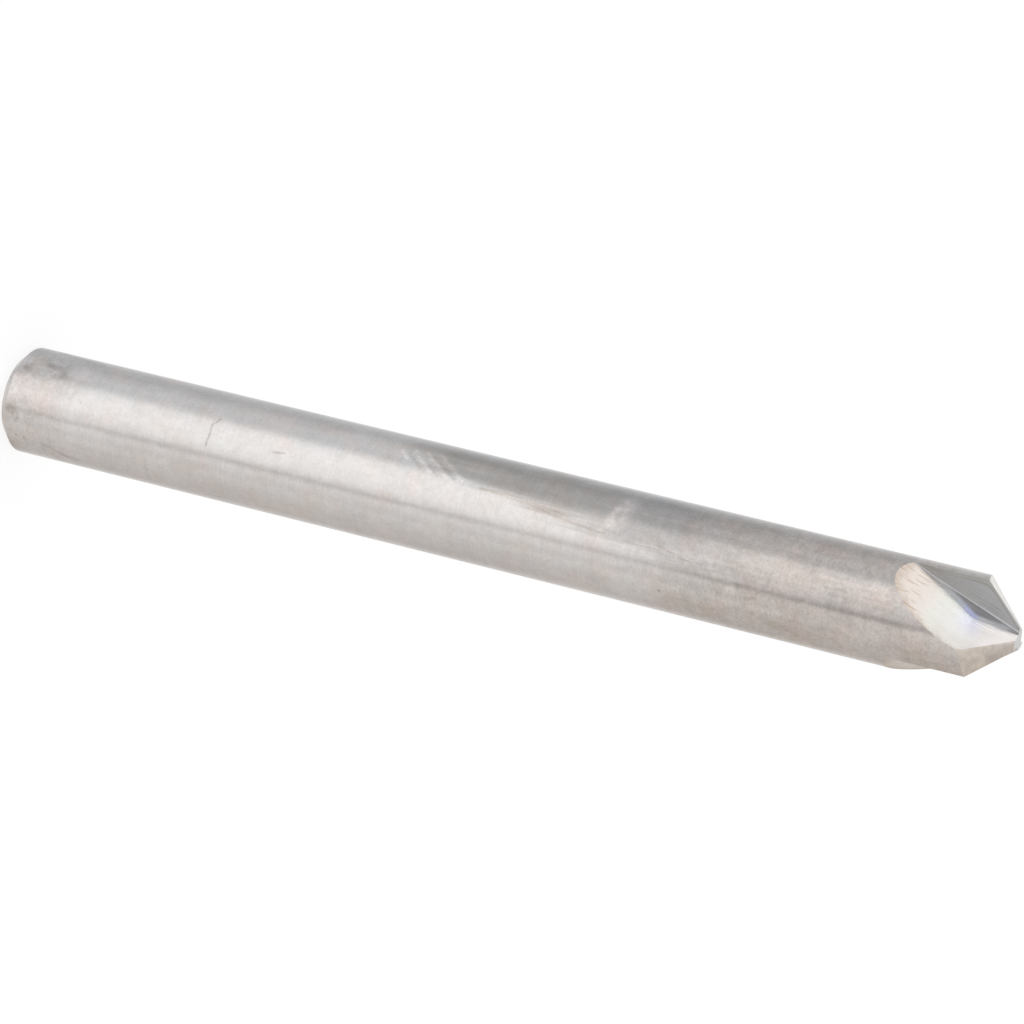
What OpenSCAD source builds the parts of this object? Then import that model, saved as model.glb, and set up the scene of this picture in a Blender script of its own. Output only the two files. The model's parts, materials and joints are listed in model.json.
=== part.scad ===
// Chamfer mill, ground in one piece from a round solid carbide blank.
// It stands on the end of its shank, with its axis on Z and its point up.
// Right-hand cut: seen from the point, it turns counter-clockwise.

/* [Blank] */
// Diameter of the shank, which the cutting end keeps
shank_d = 6.35; // [3:0.01:20]
// Overall length, from the shank end to the flat on the point
overall_l = 63.5; // [30:0.5:150]
// Width of the 45 degree chamfer round the shank end
end_chamfer = 0.58; // [0.1:0.01:1]

/* [Point] */
// Full angle of the point, measured across the cutting edges
point_angle = 100; // [60:1:120]
// Distance across the cutting edges at the flat on the tip
tip_flat_d = 1.58; // [1:0.01:2.5]
// Clearance of each flank behind its cutting edge
flank_clearance = 8; // [4:0.5:12]
// Full angle of the cone that each flank is ground to
flank_cone_angle = 90; // [70:1:120]

/* [Flutes] */
// Number of cutting edges
flute_count = 3; // [2:1:4]
// Direction of the first cutting edge round the axis
first_edge_az = 86.5; // [0:0.5:180]
// Direction that the flute floor faces, ahead of the cutting edge
floor_az = 19; // [10:0.5:30]
// Slope of the flute floor to the axis
floor_slope = 17; // [10:0.1:20]
// Distance from the axis to the flute floor at the tip
floor_web = 0.41; // [0.3:0.01:0.7]
// Direction that the run-out faces, ahead of the cutting edge
runout_az = 22.5; // [10:0.5:35]
// Slope of the run-out, where the flute climbs out to the shank
runout_slope = 24; // [21:0.5:40]
// Distance from the tip down to the foot of the run-out
runout_depth = 2.43; // [2:0.01:4]
// Direction that the narrow facet in the root of the flute faces, ahead of the cutting edge
root_az = 36; // [32:0.5:60]
// Slope of the root facet to the axis
root_slope = 18.2; // [16:0.1:24]
// Distance from the axis to the root facet at the tip
root_web = 0.4; // [0.3:0.01:0.5]

/* [Hidden] */

$fn = 96;
shank_r = shank_d / 2;
tip_r = tip_flat_d / 2;
half_angle = point_angle / 2;
flank_half_angle = flank_cone_angle / 2;
apex_z = overall_l + tip_r / tan(half_angle);
edge_pitch = 360 / flute_count;
runout_web = floor_web + runout_depth * tan(floor_slope);
wheel_reach = overall_l;
flank_reach = 4 * shank_d;
tip_margin = (apex_z - overall_l) / 2;

// The ground blank: a plain rod with a chamfer round its lower end
module blank() {
    rotate_extrude()
        polygon([
            [0, 0],
            [shank_r - end_chamfer, 0],
            [shank_r, end_chamfer],
            [shank_r, overall_l],
            [0, overall_l]
        ]);
}

// All that lies outside a plane: it faces direction az, leans in towards the point by slope,
// and stands web away from the axis at height z_at
module outside_plane(az, slope, web, z_at) {
    rotate([0, 0, az])
        translate([web, 0, z_at])
            rotate([0, -slope, 0])
                translate([0, -wheel_reach, -wheel_reach])
                    cube([wheel_reach, 2 * wheel_reach, 2 * wheel_reach]);
}

// One flute ahead of a cutting edge on +X: a pocket between the radial rake face,
// the floor, the run-out behind it and the narrow facet along the root
module flute() {
    intersection() {
        outside_plane(90, 0, 0, overall_l);
        outside_plane(floor_az, floor_slope, floor_web, overall_l);
        outside_plane(runout_az, runout_slope, runout_web, overall_l - runout_depth);
        outside_plane(root_az, root_slope, root_web, overall_l);
    }
}

// The cone that a flank is ground to: it holds a cutting edge on +X,
// and falls away behind that edge by the clearance
module flank_cone() {
    translate([0, 0, apex_z])
        rotate(flank_clearance, [sin(half_angle), 0, -cos(half_angle)])
            rotate([0, flank_half_angle - half_angle, 0])
                translate([0, 0, -flank_reach])
                    cylinder(h = flank_reach, r1 = flank_reach * tan(flank_half_angle), r2 = 0);
}

// What the wheel takes off above one flank, from a sixth of the pitch ahead of its
// cutting edge back to the next flute
module flank_cut() {
    sweep = [for (i = [0 : 4]) edge_pitch / 6 - i * edge_pitch / 4];
    difference() {
        translate([0, 0, overall_l - shank_d])
            linear_extrude(height = shank_d + tip_margin)
                polygon(concat([[0, 0]], [for (a = sweep) shank_d * [cos(a), sin(a)]]));
        flank_cone();
    }
}

// The finished tool
module chamfer_mill() {
    color("darkgray")
        difference() {
            blank();
            for (i = [0 : flute_count - 1])
                rotate([0, 0, first_edge_az + i * edge_pitch]) {
                    flank_cut();
                    flute();
                }
        }
}

chamfer_mill();
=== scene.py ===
"""A ground carbide chamfer mill on a plain white stage.

The tool stands on the end of its shank, with its axis on Z and its point up, as in the CAD frame.
The camera is rolled, so that the tool lies across the picture as it does in the photograph.
"""

from __future__ import annotations

import json
import logging
import math
from abc import ABC, abstractmethod
from collections.abc import Callable
from dataclasses import dataclass, field
from enum import Enum
from functools import cached_property, reduce

import bmesh
import bpy
from mathutils import Matrix, Vector

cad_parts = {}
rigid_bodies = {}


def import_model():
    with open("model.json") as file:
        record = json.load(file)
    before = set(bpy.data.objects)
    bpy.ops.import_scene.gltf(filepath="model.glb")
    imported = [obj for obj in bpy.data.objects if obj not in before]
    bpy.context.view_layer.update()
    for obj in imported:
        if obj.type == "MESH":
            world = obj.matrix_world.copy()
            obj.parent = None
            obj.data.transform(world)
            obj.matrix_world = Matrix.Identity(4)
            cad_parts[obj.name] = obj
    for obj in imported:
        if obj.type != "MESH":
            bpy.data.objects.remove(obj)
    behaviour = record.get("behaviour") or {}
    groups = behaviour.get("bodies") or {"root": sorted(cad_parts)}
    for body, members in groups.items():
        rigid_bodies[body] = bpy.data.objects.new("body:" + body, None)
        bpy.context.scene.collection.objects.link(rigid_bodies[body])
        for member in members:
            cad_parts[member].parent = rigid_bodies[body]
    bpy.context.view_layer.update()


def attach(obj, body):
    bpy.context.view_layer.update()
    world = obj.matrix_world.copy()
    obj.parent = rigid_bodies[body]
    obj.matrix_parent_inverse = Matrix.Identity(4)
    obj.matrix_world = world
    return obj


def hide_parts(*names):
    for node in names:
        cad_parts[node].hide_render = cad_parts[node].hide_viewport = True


LOG = logging.getLogger("chamfer_mill")
MM = 0.001

Socket = bpy.types.NodeSocket
Pair = tuple[float, float]
Rgb = tuple[float, float, float]
Value = Socket | float | Rgb
Normal = Callable[[Vector], Vector]

# Amounts in rising order, each with a grey or a colour
Tones = tuple[tuple[float, float | Rgb], ...]

# The UV map whose U runs along the grinding lines
GRIND_MAP = "grind"
WHITE: Rgb = (1.0, 1.0, 1.0)
# What a place is multiplied by to drop its height
ACROSS: Rgb = (1.0, 1.0, 0.0)
# The range in which most values of a noise lie
MIDDLE: Pair = (0.3, 0.7)
# How much each finer layer of a noise counts
NOISE_ROUGHNESS = 0.55
# Cosines of the angle from a flute's middle: outside it and inside it
IN_FLUTE: Pair = (0.35, 0.6)


class Surface(Enum):
    """The ground surfaces of the tool, in the order of its material slots."""

    SHANK = 0
    END = 1
    RAKE = 2
    FLOOR = 3
    ROOT = 4
    FLANK = 5
    TIP = 6
    FOOT = 7


@dataclass(frozen=True)
class Plane:
    """A ground plane, in millimetres.

    Args:
        facing: unit vector that points away from the carbide.
        point: any point of the plane.
    """

    facing: Vector
    point: Vector

    def off(self, place: Vector) -> float:
        """Distance of a place from the plane."""
        return (place - self.point).dot(self.facing)


@dataclass(frozen=True)
class ToolSizes:
    """The sizes of the tool, in millimetres and degrees, as in the part's source.

    Directions and distances of a flute's walls are those ahead of a cutting edge, and at the tip.

    Args:
        shank_d: diameter of the shank.
        overall_l: length, from the shank end to the flat on the tip.
        end_chamfer: width of the 45 degree chamfer round the shank end.
        point_angle: full angle of the point, across the cutting edges.
        tip_flat_d: distance across the cutting edges at the flat.
        flank_clearance: clearance of each flank behind its cutting edge.
        flank_cone_angle: full angle of the cone that a flank is ground to.
        flute_count: number of cutting edges.
        first_edge_az: direction of the first one round the axis.
        floor_az: direction that the floor of a flute faces.
        floor_slope: slope of the floor to the axis.
        floor_web: distance from the axis to the floor.
        runout_az: direction that the run-out faces.
        runout_slope: slope of the run-out to the axis.
        runout_depth: distance from the tip down to the foot of the run-out.
        root_az: direction that the narrow facet in the root faces.
        root_slope: slope of that facet to the axis.
        root_web: distance from the axis to that facet.
    """

    shank_d: float = 6.35
    overall_l: float = 63.5
    end_chamfer: float = 0.58
    point_angle: float = 100.0
    tip_flat_d: float = 1.58
    flank_clearance: float = 8.0
    flank_cone_angle: float = 90.0
    flute_count: int = 3
    first_edge_az: float = 86.5
    floor_az: float = 19.0
    floor_slope: float = 17.0
    floor_web: float = 0.41
    runout_az: float = 22.5
    runout_slope: float = 24.0
    runout_depth: float = 2.43
    root_az: float = 36.0
    root_slope: float = 18.2
    root_web: float = 0.4

    @property
    def shank_r(self) -> float:
        """Radius of the shank."""
        return self.shank_d / 2

    @property
    def apex_z(self) -> float:
        """Height at which the cutting edges would meet on the axis."""
        return self.overall_l + self.tip_flat_d / 2 / math.tan(math.radians(self.point_angle / 2))

    @property
    def edge_azimuths(self) -> list[float]:
        """Direction of each cutting edge round the axis."""
        pitch = 360 / self.flute_count
        return [self.first_edge_az + i * pitch for i in range(self.flute_count)]

    def plane(self, azimuth: float, slope: float, web: float, height: float) -> Plane:
        """A plane that faces a direction and leans in towards the point.

        Args:
            azimuth: direction that it faces round the axis.
            slope: its slope to the axis.
            web: its distance from the axis at the given height.
            height: that height.

        Returns:
            The plane.
        """
        a, s = math.radians(azimuth), math.radians(slope)
        out = Vector((math.cos(a), math.sin(a), 0))
        return Plane(out * math.cos(s) + Vector((0, 0, math.sin(s))), out * web + Vector((0, 0, height)))

    def rake(self, edge: float) -> Plane:
        """The radial rake face of the edge at an azimuth."""
        return self.plane(edge + 90, 0, 0, self.overall_l)

    def floor(self, edge: float) -> Plane:
        """The floor of the flute ahead of an edge."""
        return self.plane(edge + self.floor_az, self.floor_slope, self.floor_web, self.overall_l)

    def runout(self, edge: float) -> Plane:
        """The run-out, where that flute climbs out to the shank."""
        web = self.floor_web + self.runout_depth * math.tan(math.radians(self.floor_slope))
        return self.plane(edge + self.runout_az, self.runout_slope, web, self.overall_l - self.runout_depth)

    def root(self, edge: float) -> Plane:
        """The narrow facet in the root of that flute."""
        return self.plane(edge + self.root_az, self.root_slope, self.root_web, self.overall_l)

    def flank_frame(self, edge: float) -> Matrix:
        """Places the cone that a flank is ground to.

        Args:
            edge: azimuth of the flank's cutting edge.

        Returns:
            What takes a cone with its apex at the origin, opening down -Z, to its place.
        """
        half = math.radians(self.point_angle / 2)
        along_edge = Vector((math.sin(half), 0, -math.cos(half)))
        lean = math.radians(self.flank_cone_angle / 2) - half
        return (
            Matrix.Rotation(math.radians(edge), 4, "Z")
            @ Matrix.Translation((0, 0, self.apex_z))
            @ Matrix.Rotation(math.radians(self.flank_clearance), 4, along_edge)
            @ Matrix.Rotation(lean, 4, "Y")
        )


@dataclass(frozen=True)
class Grain:
    """A noise over the metal, of which one range is taken smoothly to another.

    Args:
        scale: how many of its cells lie in a millimetre.
        detail: how many finer layers it has.
        to: what the ends of the range become.
        ends: the ends of the range.
        stretch: what a place is multiplied by first, if anything.
        shift: what is added to a place first, if anything.
    """

    scale: float
    detail: float
    to: Pair = (0.0, 1.0)
    ends: Pair = MIDDLE
    stretch: Rgb | None = None
    shift: Rgb | None = None


@dataclass(frozen=True)
class Wander:
    """A slow noise that goes either way from 0.

    Args:
        scale: how many of its cells lie in a millimetre.
        detail: how many finer layers it has.
        reach: how far it can go.
    """

    scale: float
    detail: float
    reach: float


def put_in_scene(name: str, bm: bmesh.types.BMesh) -> bpy.types.Object:
    """Makes a scene object from a bmesh, which is freed.

    Args:
        name: name of the object and its mesh.
        bm: the bmesh.

    Returns:
        The object.
    """
    mesh = bpy.data.meshes.new(name)
    bm.normal_update()
    bm.to_mesh(mesh)
    bm.free()
    made = bpy.data.objects.new(name, mesh)
    bpy.context.scene.collection.objects.link(made)
    return made


def around(middle: float, swing: float) -> Pair:
    """The two ends of a swing either way."""
    return middle - swing, middle + swing


class NodeBench:
    """Lays out the nodes of one material or world."""

    def __init__(self, tree: bpy.types.NodeTree) -> None:
        """Clears the tree."""
        self.tree = tree
        tree.nodes.clear()

    def add(self, kind: str, **settings: object) -> bpy.types.Node:
        """A new node.

        Args:
            kind: its type, without the leading ShaderNode.
            **settings: its properties.

        Returns:
            The node.
        """
        node = self.tree.nodes.new("ShaderNode" + kind)
        for key, value in settings.items():
            setattr(node, key, value)
        return node

    def plug(self, socket: Socket, value: Value) -> None:
        """Sets or links one input.

        Args:
            socket: the input.
            value: a number, a colour or another node's socket.
        """
        if isinstance(value, Socket):
            self.tree.links.new(value, socket)
        elif socket.type == "RGBA":
            socket.default_value = (*value, 1.0)
        else:
            socket.default_value = value

    def feed(self, node: bpy.types.Node, *values: Value, **named: Value) -> bpy.types.Node:
        """Sets or links the inputs of a node.

        Args:
            node: the node.
            *values: what its first inputs get.
            **named: what inputs get by name, with _ for a space.

        Returns:
            The same node.
        """
        for slot, value in enumerate(values):
            self.plug(node.inputs[slot], value)
        for name, value in named.items():
            self.plug(node.inputs[name.replace("_", " ")], value)
        return node

    def math(self, operation: str, *values: Value, clamp: bool = False) -> Socket:
        """The result of one sum on numbers or sockets."""
        return self.feed(self.add("Math", operation=operation, use_clamp=clamp), *values).outputs[0]

    def times(self, first: Value, second: Value) -> Socket:
        """Two numbers multiplied."""
        return self.math("MULTIPLY", first, second)

    def vector(self, operation: str, *values: Value) -> Socket:
        """The result of one vector sum."""
        return self.feed(self.add("VectorMath", operation=operation), *values).outputs[0]

    def measure(self, operation: str, *values: Value) -> Socket:
        """The number that a vector sum gives, such as a length."""
        return self.feed(self.add("VectorMath", operation=operation), *values).outputs["Value"]

    def scaled(self, value: Value, factor: Value) -> Socket:
        """A place or a colour multiplied by one number."""
        return self.feed(self.add("VectorMath", operation="SCALE"), value, Scale=factor).outputs[0]

    def point(self, x: Value, y: Value, z: Value) -> Socket:
        """A place from its three numbers."""
        return self.feed(self.add("CombineXYZ"), x, y, z).outputs[0]

    def noise(self, place: Socket, scale: float, detail: float) -> Socket:
        """A noise value from 0 to 1 at a place."""
        wanted = {"Vector": place, "Scale": scale, "Detail": detail, "Roughness": NOISE_ROUGHNESS}
        return self.feed(self.add("TexNoise", noise_dimensions="3D"), **wanted).outputs["Fac"]

    def spread(self, value: Socket, ends: Pair, to: Pair) -> Socket:
        """A value taken smoothly from one range to another, and held inside it."""
        node = self.add("MapRange", interpolation_type="SMOOTHSTEP")
        return self.feed(node, value, *ends, *to).outputs["Result"]

    def rise(self, value: Socket, ends: Pair) -> Socket:
        """0 up to the first end, 1 from the second."""
        return self.spread(value, ends, (0.0, 1.0))

    def fall(self, value: Socket, ends: Pair) -> Socket:
        """1 up to the first end, 0 from the second."""
        return self.spread(value, ends, (1.0, 0.0))

    def ramp(self, share: Socket, stops: Tones) -> Socket:
        """A colour that follows stops.

        Args:
            share: a number from 0 to 1.
            stops: places from 0 to 1, each with its tone.

        Returns:
            The colour.
        """
        node = self.add("ValToRGB")
        node.color_ramp.interpolation = "EASE"
        elements = node.color_ramp.elements
        for i, (place, tone) in enumerate(stops):
            stop = elements[i] if i < len(elements) else elements.new(place)
            stop.position = place
            stop.color = (*tone, 1.0) if isinstance(tone, tuple) else (tone, tone, tone, 1.0)
        return self.feed(node, share).outputs["Color"]

    def follow(self, value: Socket, points: Tones) -> Socket:
        """A tone that follows a value.

        Args:
            value: the value.
            points: some of its amounts, each with its tone.

        Returns:
            The tone, as a colour.
        """
        low, span = points[0][0], points[-1][0] - points[0][0]
        share = self.math("DIVIDE", self.math("SUBTRACT", value, low), span, clamp=True)
        return self.ramp(share, tuple(((at - low) / span, tone) for at, tone in points))

    def product(self, first: Value, *others: Value) -> Socket:
        """Colours multiplied together, one after the other."""
        return reduce(lambda one, other: self.vector("MULTIPLY", one, other), others, first)

    def blend(self, share: Value, first: Value, second: Value) -> Socket:
        """A colour between two.

        Args:
            share: how much of the second colour it has.
            first: the first colour.
            second: the second colour.

        Returns:
            The colour.
        """
        node = self.add("Mix", data_type="RGBA")
        for slot, value in ((0, share), (6, first), (7, second)):
            self.plug(node.inputs[slot], value)
        return node.outputs[2]

    def tinted(self, share: Value, tint: Value) -> Socket:
        """What a tint does by share to the colour below it."""
        return self.blend(share, WHITE, tint)


class MetalBench(NodeBench):
    """The bench of a ground surface, which knows the place on the tool, in millimetres."""

    def __init__(self, tree: bpy.types.NodeTree) -> None:
        """Clears the tree and lays out the place."""
        super().__init__(tree)
        self.place = self.vector("MULTIPLY", self.add("TexCoord").outputs["Object"], (1 / MM, 1 / MM, 1 / MM))

    @cached_property
    def parts(self) -> tuple[Socket, ...]:
        """The three numbers of the place."""
        return tuple(self.feed(self.add("SeparateXYZ"), self.place).outputs)

    @property
    def height(self) -> Socket:
        """Height on the tool."""
        return self.parts[2]

    @cached_property
    def radius(self) -> Socket:
        """Distance from the axis."""
        return self.measure("LENGTH", self.vector("MULTIPLY", self.place, ACROSS))

    @cached_property
    def sheet(self) -> Socket:
        """The place on a flat face, along and across its grinding lines."""
        return self.add("UVMap", uv_map=GRIND_MAP).outputs[0]

    def pattern(self, grain: Grain, place: Socket | None = None) -> Socket:
        """The noise of a grain, as it is.

        Args:
            grain: the grain.
            place: where it is taken, if not at the place on the tool.

        Returns:
            A number from 0 to 1.
        """
        where = self.place if place is None else place
        if grain.stretch:
            where = self.vector("MULTIPLY", where, grain.stretch)
        if grain.shift:
            where = self.vector("ADD", where, grain.shift)
        return self.noise(where, grain.scale, grain.detail)

    def grain(self, grain: Grain, place: Socket | None = None) -> Socket:
        """The noise of a grain, taken to its two numbers."""
        return self.spread(self.pattern(grain, place), grain.ends, grain.to)

    def wander(self, wander: Wander) -> Socket:
        """How far a slow noise goes at the place."""
        noise = self.noise(self.place, wander.scale, wander.detail)
        return self.math("MULTIPLY_ADD", noise, 2 * wander.reach, -wander.reach)

    def off(self, wall: Plane) -> Socket:
        """Distance of the place from a plane."""
        far = self.measure("DOT_PRODUCT", self.place, tuple(wall.facing))
        return self.math("SUBTRACT", far, wall.facing.dot(wall.point))

    def in_flute(self, azimuth: float) -> Socket:
        """Tells one flute from the others.

        Args:
            azimuth: direction of its middle round the axis.

        Returns:
            1 in that flute, 0 in the others.
        """
        a = math.radians(azimuth)
        out = self.vector("NORMALIZE", self.vector("MULTIPLY", self.place, ACROSS))
        return self.rise(self.measure("DOT_PRODUCT", out, (math.cos(a), math.sin(a), 0.0)), IN_FLUTE)

    def stroke(self, spot: Socket, start: Vector, end: Vector, width: float) -> Socket:
        """A straight stroke on the round of the tool.

        Its sums stay few and unclamped, because one shader holds all the strokes.

        Args:
            spot: the place on the unrolled round.
            start: where the stroke starts there.
            end: where it ends.
            width: half its width.

        Returns:
            How much it covers the spot: 1 on its line, 0 at its width.
        """
        run = end - start
        away = self.vector("SUBTRACT", spot, tuple(start))
        share = self.measure("DOT_PRODUCT", away, tuple(run / run.length_squared))
        share = self.math("MINIMUM", self.math("MAXIMUM", share, 0.0), 1.0)
        return self.fall(self.measure("DISTANCE", away, self.scaled(tuple(run), share)), (0.0, width))


class Wear(ABC):
    """Anything that changes the colour of a ground surface."""

    @abstractmethod
    def tint(self, bench: MetalBench) -> Socket:
        """Lays out its nodes.

        Args:
            bench: where they go.

        Returns:
            What the metal's colour is multiplied by.
        """


@dataclass(frozen=True)
class Marks:
    """Scratches, rubs or spots of one tint on the round of the tool.

    Args:
        tint: what they do to the metal's colour at their middle.
        lines: for each, half its width in millimetres and then its points, as angle round the tool
            in degrees and height in millimetres.
    """

    tint: Rgb
    lines: tuple[tuple[float | Pair, ...], ...]


@dataclass(frozen=True)
class Coat:
    """A thin coat on the round of the tool; the painted shade strip is laid on as one too.

    Args:
        share: how thick it is, by height in millimetres.
        tint: what it does where it is full: one colour, or colours by height.
    """

    share: Tones
    tint: Rgb | Tones

    def over(self, bench: MetalBench, *covers: Socket) -> Socket:
        """Lays out the nodes of the coat.

        Args:
            bench: where they go.
            *covers: what else its thickness is multiplied by.

        Returns:
            What the coat does to the metal's colour.
        """
        share = bench.follow(bench.height, self.share)
        for cover in covers:
            share = bench.times(cover, share)
        one_colour = isinstance(self.tint[0], float)
        return bench.tinted(share, self.tint if one_colour else bench.follow(bench.height, self.tint))


@dataclass(frozen=True)
class RoundWear(Wear):
    """What handling has left on the round of the tool, and a painted shade along one strip.

    Angles run round the tool in degrees, from the picture's top towards its camera; heights are in
    millimetres. A pair of angles says between which two something sets in or ends.

    Args:
        radius: radius of the shank.
        film: the dull film on the upper side.
        film_edge: angle at which it ends, by height.
        smoke: the warm smoke towards the point.
        shade: painted shade that darkens the strip above the dark reflected line.
        end: the dark blotches towards the shank's end.
        mottle: how far the mottling goes either way, by height.
        marks: single scratches and rubs.
        film_top: angles between which the film sets in.
        film_soft: how far inside its edge it sets in.
        film_streaks: the streaks in it, and how far they move its edge.
        film_streak_share: how much thinner and thicker they make it.
        film_clouds: how much thinner and thicker its clouds make it.
        shade_rise: angles between which the painted shade strip sets in.
        shade_fall: angles between which it ends.
        blotches: the grain of the blotches.
        mottles: the small soft mottles, the grit, the wide clouds and the long soft streaks.
        specks: the fine specks.
        speck_fields: where there are more of them.
        speck_depth: how much a full speck darkens.
        cast: where the metal has a pinkish cast.
        cast_tint: what that cast does.
        shake: how unsteady the lines of the marks are.
        rough: how broken the marks are.
    """

    radius: float
    film: Coat
    film_edge: Tones
    smoke: Coat
    shade: Coat
    end: Coat
    mottle: Tones
    marks: tuple[Marks, ...]
    film_top: Pair = (1.0, 40.0)
    film_soft: Pair = (-5.0, 20.0)
    film_streaks: Grain = Grain(1.0, 3.0, (-5.0, 5.0), stretch=(2.4, 2.4, 0.15))
    film_streak_share: Pair = (0.82, 1.18)
    film_clouds: Grain = Grain(0.6, 4.0, (0.92, 1.08))
    shade_rise: Pair = (82.0, 100.0)
    shade_fall: Pair = (102.0, 107.0)
    blotches: Grain = Grain(0.9, 5.0, (0.15, 1.0), (0.44, 0.62))
    mottles: tuple[Grain, Grain, Grain, Grain] = (
        Grain(1.9, 4.0, (-1.0, 1.0)),
        Grain(6.5, 3.0, (-1.1, 1.1)),
        Grain(0.45, 3.0, (-0.8, 0.8), shift=(7.0, 3.0, 1.0)),
        Grain(1.0, 3.0, (-0.5, 0.5), stretch=(1.5, 1.5, 0.06)),
    )
    specks: Grain = Grain(5.0, 2.0, ends=(0.63, 0.76))
    speck_fields: Grain = Grain(0.5, 2.0, (0.1, 1.0), (0.42, 0.62), shift=(2.0, 9.0, 4.0))
    speck_depth: float = 0.16
    cast: Grain = Grain(0.7, 3.0, ends=(0.45, 0.7), shift=(5.0, 1.0, 8.0))
    cast_tint: Rgb = (1.015, 0.975, 0.96)
    shake: Wander = Wander(1.7, 2.0, 0.12)
    rough: Grain = Grain(3.0, 3.0, (0.45, 1.0), (0.35, 0.6))

    def tint(self, bench: MetalBench) -> Socket:
        """Lays out the nodes of the wear and of the painted shade.

        Args:
            bench: where they go.

        Returns:
            What the wear does to the metal's colour.
        """
        x, y, _ = bench.parts
        turn = bench.math("ARCTAN2", bench.times(y, -1.0), bench.times(x, -1.0))
        angle = bench.times(turn, 180 / math.pi)
        # Strip of painted shade above the dark reflected line
        strip = bench.times(bench.rise(angle, self.shade_rise), bench.fall(angle, self.shade_fall))
        return bench.product(
            self._film(bench, angle),
            self.smoke.over(bench),
            self.shade.over(bench, strip),
            self.end.over(bench, bench.grain(self.blotches)),
            self._mottling(bench),
            self._scratches(bench, turn),
        )

    def _film(self, bench: MetalBench, angle: Socket) -> Socket:
        """The dull film on the upper side, whose lower edge sweeps down towards the point.

        Args:
            bench: where its nodes go.
            angle: the place's angle round the tool, in degrees.

        Returns:
            What the film does to the metal's colour.
        """
        streaks = bench.pattern(self.film_streaks)
        edge = bench.math("SUBTRACT", bench.follow(bench.height, self.film_edge), angle)
        edge = bench.math("ADD", edge, bench.spread(streaks, self.film_streaks.ends, self.film_streaks.to))
        inside = bench.times(bench.rise(edge, self.film_soft), bench.rise(angle, self.film_top))
        thick = bench.spread(streaks, self.film_streaks.ends, self.film_streak_share)
        return self.film.over(bench, inside, thick, bench.grain(self.film_clouds))

    def _mottling(self, bench: MetalBench) -> Socket:
        """The mottles and streaks, the specks, and a pinkish cast here and there.

        Args:
            bench: where its nodes go.

        Returns:
            What the mottling does to the metal's colour.
        """
        fine, grit, wide, long = (bench.grain(mottle) for mottle in self.mottles)
        swing = bench.math("ADD", bench.math("ADD", fine, grit), bench.math("ADD", wide, long))
        tone = bench.math("MULTIPLY_ADD", swing, bench.follow(bench.height, self.mottle), 1.0)
        specks = bench.times(bench.grain(self.specks), bench.grain(self.speck_fields))
        tone = bench.math("MULTIPLY_ADD", specks, -self.speck_depth, tone)
        return bench.scaled(bench.tinted(bench.grain(self.cast), self.cast_tint), tone)

    def _scratches(self, bench: MetalBench, turn: Socket) -> Socket:
        """The single marks, each with a slightly unsteady line.

        Args:
            bench: where their nodes go.
            turn: the place's angle round the tool, in radians.

        Returns:
            What the marks do to the metal's colour.
        """
        unrolled = bench.point(bench.times(turn, self.radius), bench.height, 0.0)
        shake = bench.wander(self.shake)
        spot = bench.vector("ADD", unrolled, bench.point(shake, shake, 0.0))
        rough = bench.grain(self.rough)
        tints = []
        for marks in self.marks:
            cover: Value = 0.0
            for width, *path in marks.lines:
                points = [Vector((math.radians(a) * self.radius, height, 0.0)) for a, height in path]
                for start, end in zip(points, points[1:]):
                    cover = bench.math("MAXIMUM", bench.stroke(spot, start, end, width), cover)
            tints.append(bench.tinted(bench.times(cover, rough), marks.tint))
        return bench.product(*tints)


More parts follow.
